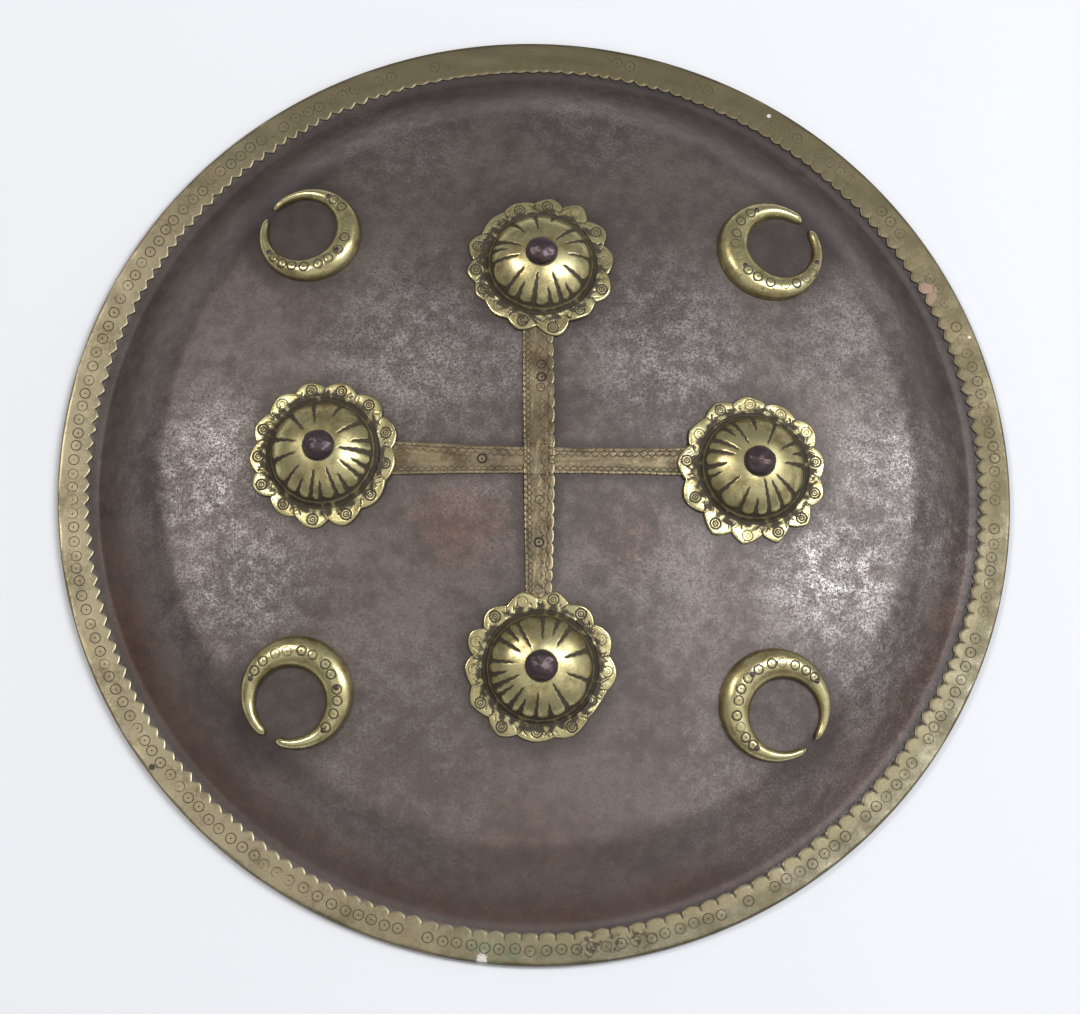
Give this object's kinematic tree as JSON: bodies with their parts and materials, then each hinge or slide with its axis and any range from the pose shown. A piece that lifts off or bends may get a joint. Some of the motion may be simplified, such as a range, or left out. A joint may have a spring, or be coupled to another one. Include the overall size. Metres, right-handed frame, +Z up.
{
  "type": "dhal round shield",
  "caption": "Round domed steel shield with a folded brass border, a brass strap cross, petalled brass bosses and applied brass crescents, hollow behind.",
  "frame": {"origin": "centre of the border's underside, on the shield's axis, where it lies crown up", "axes": "+Z up along the shield's axis through the crown; +X and +Y along the arms of the strap cross, +Y towards the top boss"},
  "size_m": [0.38, 0.38, 0.0594],
  "materials": {
    "browned_steel": "browned hammered steel with worn speckle, satin",
    "border_brass": "dull olive-brown brass, worn",
    "strap_brass": "dull brass, worn flat",
    "polished_brass": "polished yellow brass with dirt in the chasing",
    "blackened_iron": "dark purple-brown iron"
  },
  "bodies": {
    "root": {"bowl": "browned_steel", "rim_border": "border_brass", "strap_horizontal": "strap_brass", "strap_vertical": "strap_brass", "boss_top": "polished_brass", "boss_rivet_top": "blackened_iron", "boss_left": "polished_brass", "boss_rivet_left": "blackened_iron", "boss_right": "polished_brass", "boss_rivet_right": "blackened_iron", "boss_bottom": "polished_brass", "boss_rivet_bottom": "blackened_iron", "crescent_top_left": "polished_brass", "pin_top_left_1": "blackened_iron", "pin_top_left_2": "blackened_iron", "pin_top_left_3": "blackened_iron", "crescent_top_right": "polished_brass", "pin_top_right_1": "blackened_iron", "pin_top_right_2": "blackened_iron", "pin_top_right_3": "blackened_iron", "crescent_bottom_left": "polished_brass", "pin_bottom_left_1": "blackened_iron", "pin_bottom_left_2": "blackened_iron", "pin_bottom_left_3": "blackened_iron", "crescent_bottom_right": "polished_brass", "pin_bottom_right_1": "blackened_iron", "pin_bottom_right_2": "blackened_iron", "pin_bottom_right_3": "blackened_iron"}
  },
  "joints": []
}
